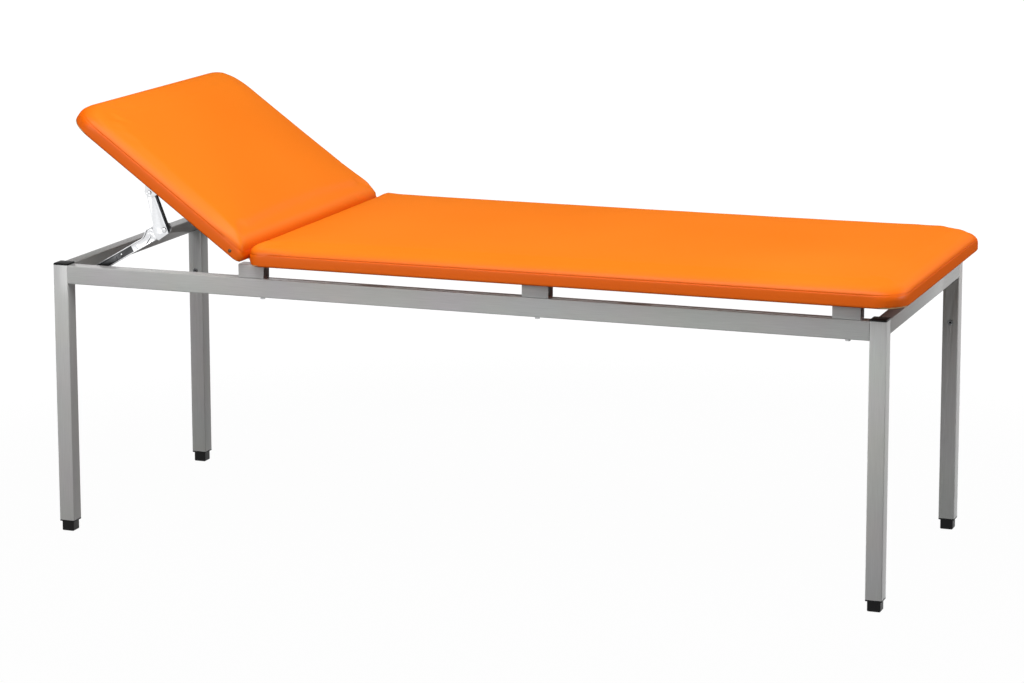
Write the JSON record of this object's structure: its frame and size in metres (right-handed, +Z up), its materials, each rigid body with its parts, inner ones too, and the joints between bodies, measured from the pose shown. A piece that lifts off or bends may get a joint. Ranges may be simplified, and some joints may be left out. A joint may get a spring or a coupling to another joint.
{
  "type": "examination table",
  "caption": "Examination table with a welded square tube frame, orange upholstered pads and a headrest raised on ratchet stays.",
  "frame": {"origin": "on the floor, under the middle of the whole table with its headrest drawn raised", "axes": "+X towards the foot end, +Y from the front side to the rear side, +Z up"},
  "size_m": [1.888, 0.754, 0.953],
  "materials": {
    "satin_tube": "satin drawn steel tube under clear coat",
    "black_plastic": "moulded, fine matt texture",
    "orange_vinyl": "coated fabric, soft sheen",
    "foam": "open cell foam",
    "board": "raw plywood",
    "zinc_fasteners": "zinc plated",
    "hinge_steel": "zinc plated, rolled",
    "dark_stud": "oxidised, domed",
    "stay_steel": "bright plated pressed sheet",
    "hard_steel": "hardened, oiled",
    "rivet_steel": "plated, riveted over"
  },
  "bodies": {
    "table": {"body_board": "board", "body_cover": "orange_vinyl", "body_foam": "foam", "end_rail_foot": "satin_tube", "end_rail_head": "satin_tube", "foot_foot_front": "black_plastic", "foot_foot_rear": "black_plastic", "foot_head_front": "black_plastic", "foot_head_rear": "black_plastic", "hinge_leaf_body": "hinge_steel", "hinge_pins": "hinge_steel", "hinge_screws_body": "zinc_fasteners", "leg_cap_foot_front": "black_plastic", "leg_cap_foot_rear": "black_plastic", "leg_cap_head_front": "black_plastic", "leg_cap_head_rear": "black_plastic", "leg_foot_front": "satin_tube", "leg_foot_rear": "satin_tube", "leg_head_front": "satin_tube", "leg_head_rear": "satin_tube", "pad_bolts": "zinc_fasteners", "pad_spacer_foot_front": "satin_tube", "pad_spacer_foot_rear": "satin_tube", "pad_spacer_head_front": "satin_tube", "pad_spacer_head_rear": "satin_tube", "pad_spacer_mid_front": "satin_tube", "pad_spacer_mid_rear": "satin_tube", "rivet_nuts": "zinc_fasteners", "side_rail_front": "satin_tube", "side_rail_rear": "satin_tube", "stay_stud_front": "rivet_steel", "stay_stud_rear": "rivet_steel", "tee_nuts": "zinc_fasteners"},
    "head_section": {"bracket_screws": "zinc_fasteners", "head_board": "board", "head_bracket_front": "stay_steel", "head_bracket_rear": "stay_steel", "head_cover": "orange_vinyl", "head_foam": "foam", "hinge_leaf_head": "hinge_steel", "hinge_screws_head": "zinc_fasteners", "side_studs": "dark_stud", "top_rivet_heads": "rivet_steel"},
    "lower_arm_front": {"elbow_rivet_front": "rivet_steel", "lower_arm_front": "stay_steel", "pawl_pin_front": "hard_steel", "pawl_spring_front": "hard_steel"},
    "lower_arm_rear": {"elbow_rivet_rear": "rivet_steel", "lower_arm_rear": "stay_steel", "pawl_pin_rear": "hard_steel", "pawl_spring_rear": "hard_steel"},
    "pawl_front": {"pawl_front": "hard_steel"},
    "pawl_rear": {"pawl_rear": "hard_steel"},
    "upper_arm_front": {"ratchet_plate_front": "hard_steel", "top_rivet_tail_front": "rivet_steel", "upper_arm_front": "stay_steel"},
    "upper_arm_rear": {"ratchet_plate_rear": "hard_steel", "top_rivet_tail_rear": "rivet_steel", "upper_arm_rear": "stay_steel"}
  },
  "joints": [
    {"name": "head_tilt", "type": "hinge", "parent": "table", "child": "head_section", "pos_m": [-0.483, 0, 0.628], "axis": [0, 1, 0], "range_deg": [-36, 4]},
    {"name": "stay_foot_front", "type": "hinge", "parent": "table", "child": "lower_arm_front", "pos_m": [-0.859, -0.302, 0.584], "axis": [0, 1, 0], "range_deg": [-4, 26]},
    {"name": "stay_elbow_front", "type": "hinge", "parent": "lower_arm_front", "child": "upper_arm_front", "pos_m": [-0.6938, -0.302, 0.67986], "axis": [0, 1, 0], "range_deg": [-106, 13]},
    {"name": "pawl_lift_front", "type": "hinge", "parent": "lower_arm_front", "child": "pawl_front", "pos_m": [-0.7288, -0.302, 0.67343], "axis": [0, 1, 0], "range_deg": [0, 6], "stiffness_Nm_per_rad": 0.05, "springref_deg": -11.46},
    {"name": "stay_foot_rear", "type": "hinge", "parent": "table", "child": "lower_arm_rear", "pos_m": [-0.859, 0.302, 0.584], "axis": [0, 1, 0], "range_deg": [-4, 26]},
    {"name": "stay_elbow_rear", "type": "hinge", "parent": "lower_arm_rear", "child": "upper_arm_rear", "pos_m": [-0.6938, 0.302, 0.67986], "axis": [0, 1, 0], "range_deg": [-106, 13]},
    {"name": "pawl_lift_rear", "type": "hinge", "parent": "lower_arm_rear", "child": "pawl_rear", "pos_m": [-0.7288, 0.302, 0.67343], "axis": [0, 1, 0], "range_deg": [0, 6], "stiffness_Nm_per_rad": 0.05, "springref_deg": -11.46}
  ],
  "couplings": [
    {"joint": "stay_foot_front", "follows": "head_tilt", "ratio": -0.672},
    {"joint": "stay_elbow_front", "follows": "head_tilt", "ratio": 2.905},
    {"joint": "stay_foot_rear", "follows": "head_tilt", "ratio": -0.672},
    {"joint": "stay_elbow_rear", "follows": "head_tilt", "ratio": 2.905}
  ]
}
